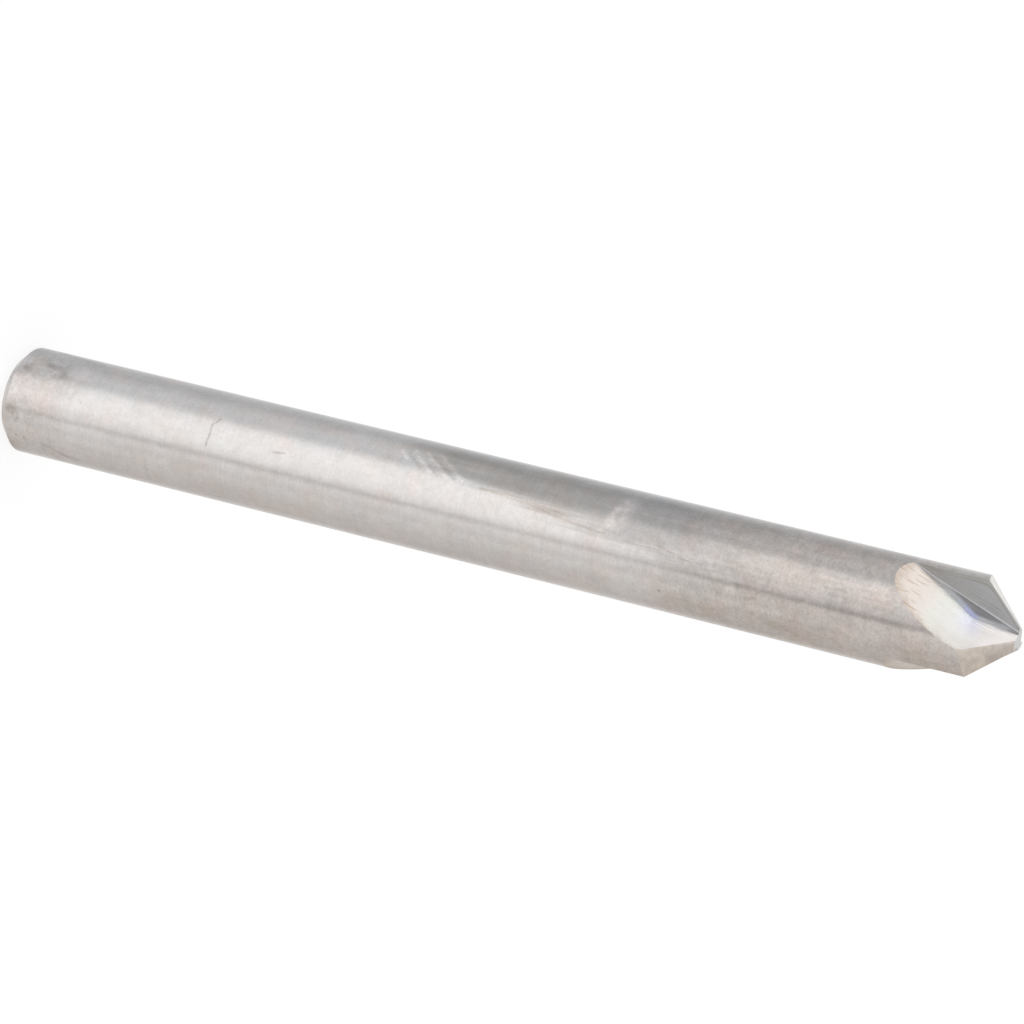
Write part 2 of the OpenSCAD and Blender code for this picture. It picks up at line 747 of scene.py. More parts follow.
@dataclass(frozen=True)
class FluteTint(Wear):
    """The colours that run along a flute, the brown wheel streaks at its outer end, a painted highlight along
    one fold and a painted cool glint at the bend.

    A pair says between which two heights, radii or distances, in millimetres, something sets in or ends.

    Args:
        tones: what the metal's colour is multiplied by, by height.
        fold: the wall that the flute's other walls fold against.
        lift: the painted highlight along that fold, by height.
        way: azimuth of the middle of the flute with that painted highlight and all the streaks.
        rest: what dulls the other flutes a little.
        painted_cool_glint: the painted cool glint at the bend in the flute.
        streak_tint: what the streaks do to the metal's colour.
        rim_tint: what the stain along the outer rim does.
        sway: how far the tones move up and down.
        painted_cool_glint_rise: heights between which the painted glint sets in.
        painted_cool_glint_fall: heights between which it ends.
        painted_cool_glint_reach: radii between which it ends.
        streaks: the grain of the streaks on the flat of the floor.
        streaks_outer: heights between which they end.
        streaks_rim: radii between which they go on along the rim.
        streaks_rim_end: heights between which they end there.
        streaks_elsewhere: how much of them the other flutes have.
        verge: how far the stain's inner edge moves.
        stain_rim: radii between which the stain sets in.
        stain_broad: radii between which its broad part sets in.
        stain_broad_share: how full that part is.
        stain_broad_rise: heights between which that part sets in.
        lift_reach: distances from the fold between which the painted highlight ends.
    """

    tones: Tones
    fold: Plane
    lift: Tones
    way: float
    rest: Rgb
    painted_cool_glint: Rgb
    streak_tint: Rgb
    rim_tint: Rgb
    sway: Wander = Wander(0.9, 3.0, 0.8)
    painted_cool_glint_rise: Pair = (59.77, 60.97)
    painted_cool_glint_fall: Pair = (61.17, 61.97)
    painted_cool_glint_reach: Pair = (1.25, 2.3)
    streaks: Grain = Grain(1.0, 3.0, ends=(0.50, 0.64), stretch=(0.95, 6.0, 1.0))
    streaks_outer: Pair = (57.57, 58.97)
    streaks_rim: Pair = (2.7, 3.05)
    streaks_rim_end: Pair = (59.97, 60.97)
    streaks_elsewhere: float = 0.3
    verge: Wander = Wander(2.2, 3.0, 0.25)
    stain_rim: Pair = (2.86, 3.2)
    stain_broad: Pair = (1.9, 2.9)
    stain_broad_share: float = 0.4
    stain_broad_rise: Pair = (58.5, 59.7)
    lift_reach: Pair = (0.0, 0.2)

    def tint(self, bench: MetalBench) -> Socket:
        """Lays out the nodes of the tints.

        Args:
            bench: where they go.

        Returns:
            What the metal's colour is multiplied by.
        """
        height = bench.height
        here = bench.in_flute(self.way)
        tone = bench.follow(bench.math("ADD", height, bench.wander(self.sway)), self.tones)
        # Painted cool glint at the bend
        near = bench.times(bench.rise(height, self.painted_cool_glint_rise), bench.fall(height, self.painted_cool_glint_fall))
        near = bench.times(near, bench.fall(bench.radius, self.painted_cool_glint_reach))
        # Painted highlight along the fold against the root facet
        close = bench.times(bench.fall(bench.off(self.fold), self.lift_reach), here)
        return bench.product(
            tone,
            bench.tinted(near, self.painted_cool_glint),
            bench.tinted(self._streaks(bench, here), self.streak_tint),
            bench.tinted(self._stain(bench), self.rim_tint),
            bench.tinted(close, bench.follow(height, self.lift)),
            bench.blend(here, self.rest, WHITE),
        )

    def _streaks(self, bench: MetalBench, here: Socket) -> Socket:
        """How strong the wheel streaks are.

        Args:
            bench: where their nodes go.
            here: 1 in the flute that has them all.

        Returns:
            Their share, from 0 to 1.
        """
        rim_end = bench.fall(bench.height, self.streaks_rim_end)
        rim = bench.times(bench.rise(bench.radius, self.streaks_rim), rim_end)
        where = bench.math("MAXIMUM", bench.fall(bench.height, self.streaks_outer), rim)
        share = bench.math("MULTIPLY_ADD", here, 1.0 - self.streaks_elsewhere, self.streaks_elsewhere)
        return bench.times(bench.times(bench.grain(self.streaks, bench.sheet), share), where)

    def _stain(self, bench: MetalBench) -> Socket:
        """How strong the stain along the outer rim is.

        Args:
            bench: where its nodes go.

        Returns:
            Its share, from 0 to 1.
        """
        verge = bench.math("ADD", bench.radius, bench.wander(self.verge))
        broad = bench.spread(verge, self.stain_broad, (0.0, self.stain_broad_share))
        broad = bench.times(broad, bench.rise(bench.height, self.stain_broad_rise))
        return bench.math("MAXIMUM", bench.rise(verge, self.stain_rim), broad)


@dataclass(frozen=True)
class RootTint(Wear):
    """The painted light and shade along the narrow facet in a flute's root, and the painted cool glint along
    its lower edge.

    Args:
        tones: painted light and shade, what the metal's colour is multiplied by, by height in millimetres.
        bed: the two walls that the facet's lower edge folds against.
        glow: what the full painted glint does to the metal's colour, by height.
        way: azimuth of the middle of the flute with the painted glint.
        glow_reach: distances from the bed between which the painted glint ends.
    """

    tones: Tones
    bed: tuple[Plane, Plane]
    glow: Tones
    way: float
    glow_reach: Pair = (0.045, 0.105)

    def tint(self, bench: MetalBench) -> Socket:
        """Lays out the nodes of the painted light and shade and the painted glint.

        Args:
            bench: where they go.

        Returns:
            What the metal's colour is multiplied by.
        """
        off = bench.math("MINIMUM", *(bench.off(wall) for wall in self.bed))
        # Painted cool glint along the facet's lower edge, in one flute
        low = bench.times(bench.fall(off, self.glow_reach), bench.in_flute(self.way))
        glow = bench.tinted(low, bench.follow(bench.height, self.glow))
        return bench.product(bench.follow(bench.height, self.tones), glow)


@dataclass(frozen=True)
class HeightTint(Wear):
    """Tones that change along the tool.

    Args:
        tones: what the metal's colour is multiplied by, by height in millimetres.
    """

    tones: Tones

    def tint(self, bench: MetalBench) -> Socket:
        """What the metal's colour is multiplied by."""
        return bench.follow(bench.height, self.tones)


@dataclass(frozen=True)
class EdgeTint(Wear):
    """The tinted margin along the outer edges of a rake face, in millimetres.

    Args:
        radius: radius of the tool.
        tip: radius and height of the cutting edge's inner end.
        slope: tangent of the cutting edge's angle to the axis.
        width: width of the margin along the round of the tool.
        lead: how much narrower it is along the cutting edge.
        margin: what the margin does to the metal's colour.
        line: what the thin line along the margin does.
        tones: what the whole face's colour is multiplied by, by height.
        corner: how far the margin rounds off the corner of the face.
        waver: how unsteady it is.
        soft: how far before and after its width it fades.
        line_width: half the width of the thin line.
        line_rise: heights between which that line sets in.
    """

    radius: float
    tip: Pair
    slope: float
    width: float
    lead: float
    margin: Rgb
    line: Rgb
    tones: Tones
    corner: float = 0.6
    waver: Wander = Wander(1.5, 2.0, 0.05)
    soft: Pair = (-0.02, 0.04)
    line_width: float = 0.05
    line_rise: Pair = (58.9, 60.9)

    def tint(self, bench: MetalBench) -> Socket:
        """Lays out the nodes of the margin.

        Args:
            bench: where they go.

        Returns:
            What the metal's colour is multiplied by.
        """
        edge = bench.math("MULTIPLY_ADD", bench.height, -self.slope, self.tip[0] + self.tip[1] * self.slope)
        from_edge = bench.times(bench.math("SUBTRACT", edge, bench.radius), 1 / math.hypot(1, self.slope))
        from_edge = bench.math("ADD", from_edge, self.lead)
        from_round = bench.math("SUBTRACT", self.radius, bench.radius)
        off = bench.math("SMOOTH_MIN", from_round, from_edge, self.corner)
        off = bench.math("ADD", off, bench.wander(self.waver))
        inside = bench.fall(off, (self.width + self.soft[0], self.width + self.soft[1]))
        from_line = bench.math("ABSOLUTE", bench.math("SUBTRACT", off, self.width))
        line = bench.fall(from_line, (0.0, self.line_width))
        line = bench.times(line, bench.rise(bench.height, self.line_rise))
        tones = bench.follow(bench.height, self.tones)
        return bench.product(bench.tinted(inside, self.margin), bench.tinted(line, self.line), tones)


@dataclass(frozen=True)
class GroundFinish:
    """How one ground carbide surface looks.

    Args:
        name: name of its material.
        colour: the clean metal, linear.
        stain: the warm tint that handling leaves on it, linear.
        roughness: mean roughness.
        line_pitch: distance between grinding lines, in millimetres.
        stain_share: how much of the warm tint shows at most.
        roughness_swing: how far the roughness goes either way.
        anisotropy: how much more the lines blur across than along.
        line_depth: strength of their relief.
        line_tone: how far they swing the tone either way.
        on_axis: True where the lines run round the tool, False where they follow the UV map.
        mottle: how far soft mottling goes either way.
        wear: what else is on the surface.
    """

    name: str
    colour: Rgb
    stain: Rgb
    roughness: float
    line_pitch: float
    stain_share: float = 0.3
    roughness_swing: float = 0.03
    anisotropy: float = 0.6
    line_depth: float = 0.2
    line_tone: float = 0.03
    on_axis: bool = False
    mottle: float = 0.0
    wear: Wear | None = None


@dataclass(frozen=True)
class CarbideShop:
    """Makes the material of each ground surface.

    Args:
        lines: the grain of the grinding lines, across them.
        broad: the broader swings between groups of lines, and what they do to the tone.
        stains: where the warm tint of handling lies.
        mottles: the grain of the soft mottling.
        relief: height of the grinding lines' relief, in metres.
        turn: turn of the anisotropic gloss, which makes it run along the lines.
        lengths: how fast the lines change along a flat face, and along and round the tool.
        rings: how much faster the rings on the end change than the lines round the shank.
    """

    lines: Grain = Grain(1.0, 3.0, ends=(0.25, 0.75))
    broad: Grain = Grain(1.0, 2.0, (0.994, 1.006), stretch=(1.0, 0.22, 0.22))
    stains: Grain = Grain(0.55, 5.0, ends=(0.42, 0.68))
    mottles: Grain = Grain(2.0, 4.0)
    relief: float = 0.00002
    turn: float = 0.25
    lengths: Pair = (0.35, 0.12)
    rings: float = 1.3

    def make(self, finish: GroundFinish) -> bpy.types.Material:
        """Builds one finish as a node material.

        Args:
            finish: what it looks like.

        Returns:
            The material.
        """
        material = bpy.data.materials.new(finish.name)
        material.use_nodes = True
        bench = MetalBench(material.node_tree)
        along = self._line_place(bench, finish)
        lines = bench.pattern(self.lines, along)
        broad = bench.pattern(self.broad, along)
        mean = bench.math("ADD", bench.times(lines, 0.5), bench.times(broad, 0.5))
        bump = bench.feed(bench.add("Bump"), Strength=finish.line_depth, Distance=self.relief, Height=lines)
        shader = bench.feed(
            bench.add("BsdfPrincipled"),
            Base_Color=self._colour(bench, finish, lines, broad),
            Metallic=1.0,
            Roughness=bench.spread(mean, MIDDLE, around(finish.roughness, finish.roughness_swing)),
            Normal=bump.outputs[0],
            Anisotropic=finish.anisotropy,
            Anisotropic_Rotation=self.turn,
            Tangent=self._tangent(bench, finish),
        )
        bench.feed(bench.add("OutputMaterial"), Surface=shader.outputs[0])
        return material

    def _colour(self, bench: MetalBench, finish: GroundFinish, lines: Socket, broad: Socket) -> Socket:
        """Lays out the colour of a finish.

        Args:
            bench: where its nodes go.
            finish: what it looks like.
            lines: the noise of the grinding lines.
            broad: the noise of their groups.

        Returns:
            The colour.
        """
        tone = bench.spread(lines, self.lines.ends, around(1.0, finish.line_tone))
        tone = bench.times(tone, bench.spread(broad, self.broad.ends, self.broad.to))
        if finish.mottle > 0:
            mottles = bench.pattern(self.mottles)
            tone = bench.times(tone, bench.spread(mottles, self.mottles.ends, around(1.0, finish.mottle)))
        stain = bench.spread(bench.pattern(self.stains), self.stains.ends, (0.0, finish.stain_share))
        colour = bench.blend(stain, finish.colour, finish.stain)
        if finish.wear is not None:
            colour = bench.product(colour, finish.wear.tint(bench))
        return bench.scaled(colour, tone)

    def _line_place(self, bench: MetalBench, finish: GroundFinish) -> Socket:
        """Where a place lies among the grinding lines: across them it changes fast, along them slowly.

        Args:
            bench: where its nodes go.
            finish: the finish with the lines.

        Returns:
            The place among the lines.
        """
        across = 1.0 / finish.line_pitch
        on_face, on_round = self.lengths
        if finish.on_axis:
            lines = bench.vector("MULTIPLY", bench.place, (on_round, on_round, across))
            rings = bench.point(0.0, 0.0, bench.times(bench.radius, self.rings * across))
            return bench.vector("ADD", lines, rings)
        return bench.vector("MULTIPLY", bench.sheet, (on_face, across, 1.0))

    def _tangent(self, bench: MetalBench, finish: GroundFinish) -> Socket:
        """The direction of the grinding lines.

        Args:
            bench: where its nodes go.
            finish: the finish with the lines.

        Returns:
            The direction.
        """
        if finish.on_axis:
            return bench.add("Tangent", direction_type="RADIAL", axis="Z").outputs[0]
        return bench.add("Tangent", direction_type="UV_MAP", uv_map=GRIND_MAP).outputs[0]


@dataclass
class ToolBody:
    """The whole tool, ground from one blank.

    Args:
        sizes: the sizes of the part's source.
        round_steps: how many flat strips make the round of the shank.
        cone_steps: the same for the cones of the flanks.
        wedge_steps: the same for the wedge that a flank is ground in.
        wedge_ahead: how far that wedge starts ahead of the cutting edge, in pitches.
        wedge_behind: how far it goes on behind the edge, in pitches.
        reach: how far the cutters reach past the tool, in shank diameters.
        blend_radius: radius of the soft blend between a flute's floor and its run-out.
        blend_steps: how many planes make it.
        foot_radius: radius along the foot of the rake face.
        foot_steps: how many planes make it.
        flute_lead: how far the middle of a flute lies ahead of its cutting edge, in degrees.
        wheel_lean: angle between a rake face and the wheel's lines on the floor beside it.
        snap: distance at which a cut takes a corner as its own, in millimetres.
        weld: distance at which two corners become one.
        near: how far the middle of a face may lie off its surface.
        upright: how far the normal of an upright face may rise.
        same_angle: cosine above which two directions are one.
        same_cone: the same for the flat strips of a cone.
        same_fillet: cosine above which two faces belong to one fillet.
        same_wall: cosine above which a fillet's strip runs on into the wall beside it.
        foot_turn: cosine with a rake face above which a fillet's strip belongs to the foot of that face.
    """

    sizes: ToolSizes = field(default_factory=ToolSizes)
    round_steps: int = 240
    cone_steps: int = 360
    wedge_steps: int = 12
    wedge_ahead: float = 1 / 5
    wedge_behind: float = 5 / 6
    reach: float = 4.0
    blend_radius: float = 5.0
    blend_steps: int = 10
    foot_radius: float = 0.09
    foot_steps: int = 8
    flute_lead: float = 30.0
    wheel_lean: float = 6.0
    snap: float = 2e-5
    weld: float = 5e-5
    near: float = 0.02
    upright: float = 1e-4
    same_angle: float = 0.99999
    same_cone: float = 0.9995
    same_fillet: float = 0.983
    same_wall: float = 0.9925
    foot_turn: float = 0.4

    def build(self) -> bpy.types.Object:
        """Grinds the tool and sorts its surfaces.

        Returns:
            The finished object, in metres.
        """
        body = self._blank()
        for edge in self.sizes.edge_azimuths:
            self._take_off(body, self._flank_waste(edge))
        for edge in self.sizes.edge_azimuths:
            self._take_off(body, self._flute_waste(edge))
        self._sort(body.data)
        body.data.transform(Matrix.Scale(MM, 4))
        return body

    def _blank(self) -> bpy.types.Object:
        """The ground rod, with a chamfer round its lower end.

        Returns:
            The object, in millimetres.
        """
        s = self.sizes
        profile = [(s.shank_r - s.end_chamfer, 0.0), (s.shank_r, s.end_chamfer), (s.shank_r, s.overall_l)]
        turn = [2 * math.pi * i / self.round_steps for i in range(self.round_steps)]
        bm = bmesh.new()
        rings = [
            [bm.verts.new((radius * math.cos(a), radius * math.sin(a), height)) for a in turn]
            for radius, height in profile
        ]
        for low, high in zip(rings, rings[1:]):
            for i in range(self.round_steps):
                j = (i + 1) % self.round_steps
                bm.faces.new((low[i], low[j], high[j], high[i]))
        bm.faces.new(list(reversed(rings[0])))
        bm.faces.new(rings[-1])
        return put_in_scene("chamfer_mill_body", bm)

    def _take_off(self, body: bpy.types.Object, waste: bpy.types.Object) -> None:
        """Cuts the waste out of the body, and throws it away.

        Args:
            body: what is ground.
            waste: what the wheel takes off.
        """
        cut = body.modifiers.new("cut", "BOOLEAN")
        cut.operation = "DIFFERENCE"
        cut.solver = "EXACT"
        cut.object = waste
        graph = bpy.context.evaluated_depsgraph_get()
        mesh = bpy.data.meshes.new_from_object(body.evaluated_get(graph))
        body.modifiers.clear()
        old, scrap = body.data, waste.data
        body.data = mesh
        bpy.data.objects.remove(waste)
        for spent in (old, scrap):
            bpy.data.meshes.remove(spent)

    def _flank_waste(self, edge: float) -> bpy.types.Object:
        """What the wheel takes off above one flank: a wedge of the rod's top, less the flank's cone.

        Args:
            edge: azimuth of the flank's cutting edge.

        Returns:
            The waste, in millimetres.
        """
        s = self.sizes
        pitch = 360 / s.flute_count
        start, stop = edge + pitch * self.wedge_ahead, edge - pitch * self.wedge_behind
        share = [i / self.wedge_steps for i in range(self.wedge_steps + 1)]
        turn = [math.radians(start + (stop - start) * i) for i in share]
        outline = [(0.0, 0.0)] + [(s.shank_d * math.cos(a), s.shank_d * math.sin(a)) for a in turn]
        bm = bmesh.new()
        self._prism(bm, outline, s.overall_l - s.shank_d, (s.overall_l + s.apex_z) / 2)
        wedge = put_in_scene("wedge", bm)
        bm = bmesh.new()
        reach = self.reach * s.shank_d
        bmesh.ops.create_cone(
            bm,
            cap_ends=True,
            segments=self.cone_steps,
            radius1=reach * math.tan(math.radians(s.flank_cone_angle / 2)),
            radius2=0.0,
            depth=reach,
            matrix=s.flank_frame(edge) @ Matrix.Translation((0, 0, -reach / 2)),
        )
        self._take_off(wedge, put_in_scene("cone", bm))
        return wedge

    def _prism(self, bm: bmesh.types.BMesh, outline: list[Pair], low: float, high: float) -> None:
        """Makes an upright prism.

        Args:
            bm: where it goes.
            outline: the corners of its outline, clockwise.
            low: height of its bottom.
            high: height of its top.
        """
        bottom = [bm.verts.new((x, y, low)) for x, y in outline]
        top = [bm.verts.new((x, y, high)) for x, y in outline]
        bm.faces.new(bottom)
        bm.faces.new(list(reversed(top)))
        for i in range(len(outline)):
            j = (i + 1) % len(outline)
            bm.faces.new((bottom[j], bottom[i], top[i], top[j]))
        bmesh.ops.recalc_face_normals(bm, faces=bm.faces[:])

    def _flute_waste(self, edge: float) -> bpy.types.Object:
        """What the wheel takes out of one flute: all that lies outside its walls and their fillets.

        Args:
            edge: azimuth of the flute's cutting edge.

        Returns:
            The waste, in millimetres.
        """
        s = self.sizes
        rake, floor, runout, root = s.rake(edge), s.floor(edge), s.runout(edge), s.root(edge)
        walls = [rake, root, floor, *self._fillet(floor, runout, self.blend_radius, self.blend_steps), runout]
        for strip in (root, runout):
            walls += self._fillet(rake, strip, self.foot_radius, self.foot_steps)
        top = Vector((0, 0, s.overall_l))
        bm = bmesh.new()
        bmesh.ops.create_cube(bm, size=self.reach * s.shank_d)
        for wall in walls:
            cut = bmesh.ops.bisect_plane(
                bm,
                geom=bm.verts[:] + bm.edges[:] + bm.faces[:],
                dist=self.snap,
                plane_co=wall.point - top,
                plane_no=wall.facing,
                clear_inner=True,
            )
            rim = [e for e in cut["geom_cut"] if isinstance(e, bmesh.types.BMEdge) and len(e.link_faces) == 1]
            if len(rim) > 2:
                bmesh.ops.edgeloop_fill(bm, edges=rim)
        bmesh.ops.remove_doubles(bm, verts=bm.verts[:], dist=self.weld)
        bmesh.ops.translate(bm, verts=bm.verts[:], vec=top)
        bmesh.ops.recalc_face_normals(bm, faces=bm.faces[:])
        open_edges = sum(len(e.link_faces) != 2 for e in bm.edges)
        LOG.info("flute at %.1f: %d faces, %d open edges", edge, len(bm.faces), open_edges)
        return put_in_scene("flute", bm)

    def _fillet(self, one: Plane, other: Plane, radius: float, steps: int) -> list[Plane]:
        """Planes that touch the round between two walls.

        Args:
            one: the first wall.
            other: the second wall.
            radius: radius of the round.
            steps: how many planes make it.

        Returns:
            The planes, from the first wall to the second.
        """
        a, b = one.facing, other.facing
        ridge = a.cross(b)
        reach = (a.dot(one.point) + radius, b.dot(other.point) + radius, ridge.dot(one.point))
        middle = Matrix((a, b, ridge)).inverted() @ Vector(reach)
        whole = a.angle(b)
        made = []
        for i in range(1, steps + 1):
            share = i / (steps + 1)
            facing = (a * math.sin((1 - share) * whole) + b * math.sin(share * whole)).normalized()
            made.append(Plane(facing, middle - facing * radius))
        return made

    def _sort(self, mesh: bpy.types.Mesh) -> None:
        """Gives each face its surface, its exact normals and its place among the grinding lines.

        Args:
            mesh: the ground mesh, in millimetres.
        """
        found = [self._surface_of(face.center.copy(), face.normal.copy()) for face in mesh.polygons]
        kinds = [kind for kind, _ in found]
        for face, kind in zip(mesh.polygons, kinds):
            face.material_index = kind.value
            face.use_smooth = True
        mesh.update()
        mesh.normals_split_custom_set(self._corner_normals(mesh, [exact for _, exact in found]))
        self._map_lines(mesh, kinds)
        LOG.info("body: %d faces, %s", len(mesh.polygons), {k.name: kinds.count(k) for k in Surface})

    def _corner_normals(self, mesh: bpy.types.Mesh, exact: list[Normal | None]) -> list[Vector]:
        """The normal at each corner of each face.

        Args:
            mesh: the ground mesh.
            exact: for each face, what gives its exact normals, or None on a fillet.

        Returns:
            The normals. On a fillet they are the mean of its strips, or those of a wall that it meets.
        """
        touching: dict[int, list[bpy.types.MeshPolygon]] = {}
        for face in mesh.polygons:
            for v in face.vertices:
                touching.setdefault(v, []).append(face)
        made = [Vector((0, 0, 1))] * len(mesh.loops)
        for face in mesh.polygons:
            exact_here = exact[face.index]
            for corner, v in zip(face.loop_indices, face.vertices):
                if exact_here is not None:
                    made[corner] = exact_here(mesh.vertices[v].co)
                    continue
                turns = [(f, f.normal.dot(face.normal)) for f in touching[v]]
                near = [f for f, same in turns if same > self.same_fillet]
                flat = [f for f, same in turns if same > self.same_wall and exact[f.index] is not None]
                made[corner] = sum((f.normal for f in flat or near), Vector((0, 0, 0))).normalized()
        return made

    def _surface_of(self, centre: Vector, facing: Vector) -> tuple[Surface, Normal | None]:
        """Names the surface that a face lies on.

        Args:
            centre: middle of the face.
            facing: its flat normal.

        Returns:
            The surface, and how to get the exact normal at a point of it, or None on a fillet.
        """
        s = self.sizes
        if -facing.z > self.same_cone:
            return Surface.END, lambda p: Vector((0, 0, -1))
        if facing.z > self.same_angle and abs(centre.z - s.overall_l) < self.near:
            return Surface.TIP, lambda p: Vector((0, 0, 1))
        if abs(facing.z) < self.upright and abs(centre.xy.length - s.shank_r) < self.near:
            return Surface.SHANK, lambda p: Vector((p.x, p.y, 0)).normalized()
        if centre.z < s.end_chamfer + self.near:
            return Surface.END, lambda p: Vector((*p.xy.normalized(), -1)).normalized()
        for edge in s.edge_azimuths:
            for kind, wall in (
                (Surface.RAKE, s.rake(edge)),
                (Surface.FLOOR, s.floor(edge)),
                (Surface.FLOOR, s.runout(edge)),
                (Surface.ROOT, s.root(edge)),
            ):
                if facing.dot(wall.facing) > self.same_angle and abs(wall.off(centre)) < self.near:
                    return kind, lambda p, n=wall.facing: n
        half = math.radians(s.flank_cone_angle / 2)
        for edge in s.edge_azimuths:
            q = s.flank_frame(edge).inverted() @ centre
            cone = self._cone_normal(edge)
            on_cone = abs(q.xy.length + q.z * math.tan(half)) < self.near
            if on_cone and facing.dot(cone(centre)) > self.same_cone:
                return Surface.FLANK, cone
        on_foot = facing.dot(s.rake(self._own_edge(centre)).facing) > self.foot_turn
        return (Surface.FOOT if on_foot else Surface.FLOOR), None

    def _cone_normal(self, edge: float) -> Normal:
        """How to get the normal of a flank.

        Args:
            edge: azimuth of the flank's cutting edge.

        Returns:
            A function from a point of the flank to its normal there.
        """
        frame = self.sizes.flank_frame(edge)
        back, turn = frame.inverted(), frame.to_3x3()
        half = math.radians(self.sizes.flank_cone_angle / 2)

        def normal(p: Vector) -> Vector:
            """The normal at a point."""
            out = (back @ p).xy.normalized() * math.cos(half)
            return (turn @ Vector((*out, math.sin(half)))).normalized()

        return normal

    def _map_lines(self, mesh: bpy.types.Mesh, kinds: list[Surface]) -> None:
        """Writes a UV map in millimetres, whose U runs along the grinding lines of each flat face.

        Args:
            mesh: the ground mesh.
            kinds: the surface of each face.
        """
        sheet = mesh.uv_layers.new(name=GRIND_MAP)
        for face in mesh.polygons:
            run = self._line_direction(kinds[face.index], self._own_edge(face.center), face.normal)
            side = face.normal.cross(run).normalized()
            for corner, v in zip(face.loop_indices, face.vertices):
                p = mesh.vertices[v].co
                sheet.data[corner].uv = (p.dot(run), p.dot(side))

    def _own_edge(self, place: Vector) -> float:
        """Azimuth of the cutting edge of the flute that is nearest to a place."""
        here = math.degrees(math.atan2(place.y, place.x)) - self.flute_lead
        return min(self.sizes.edge_azimuths, key=lambda edge: abs((here - edge + 180) % 360 - 180))

    def _line_direction(self, kind: Surface, edge: float, facing: Vector) -> Vector:
        """The direction in which the wheel ran over a face.

        Args:
            kind: the surface that the face is on.
            edge: azimuth of the cutting edge of its flute.
            facing: its flat normal.

        Returns:
            The direction, along the face.
        """
        s = self.sizes
        if kind in (Surface.RAKE, Surface.ROOT):
            run = s.rake(edge).facing.cross(s.root(edge).facing)
        elif kind is Surface.FLOOR:
            lean = Matrix.Rotation(math.radians(self.wheel_lean), 3, facing)
            run = lean @ facing.cross(s.rake(edge).facing)
        else:
            run = Vector((1, 0, 0))
        run = run - facing * run.dot(facing)
        if run.length < self.snap:
            run = Vector((0, 1, 0)) - facing * facing.y
        return run.normalized()


@dataclass(frozen=True)
class PhotoCamera:
    """The camera of the photograph, in metres in the CAD frame.

    Args:
        place: where it stands.
        right: the picture's right.
        up: the picture's top.
        lens: focal length for a 36 mm sensor, in millimetres.
    """

    place: tuple[float, float, float] = (-0.000268, -0.260222, 0.139964)
    right: tuple[float, float, float] = (-0.236849, 0.371013, 0.897915)
    up: tuple[float, float, float] = (-0.971546, -0.090448, -0.218899)
    lens: float = 172.648

    def build(self) -> bpy.types.Object:
        """Makes the scene's camera.

        Returns:
            The camera object.
        """
        data = bpy.data.cameras.new("photo_camera")
        data.lens = self.lens
        data.sensor_width = 36.0
        data.clip_start = 0.005
        data.clip_end = 20.0
        made = bpy.data.objects.new("photo_camera", data)
        bpy.context.scene.collection.objects.link(made)
        right, up = Vector(self.right), Vector(self.up)
        turn = Matrix((right, up, right.cross(up))).transposed().to_4x4()
        made.matrix_world = Matrix.Translation(self.place) @ turn
        bpy.context.scene.camera = made
        return made


@dataclass(frozen=True)
class Card:
    """A darker card in the light tent.

    Args:
        way: its angle and elevation, in degrees.
        reach: degrees from its middle at which it is full, and gone.
        tone: its tone, linear.
    """

    way: Pair
    reach: Pair
    tone: Rgb


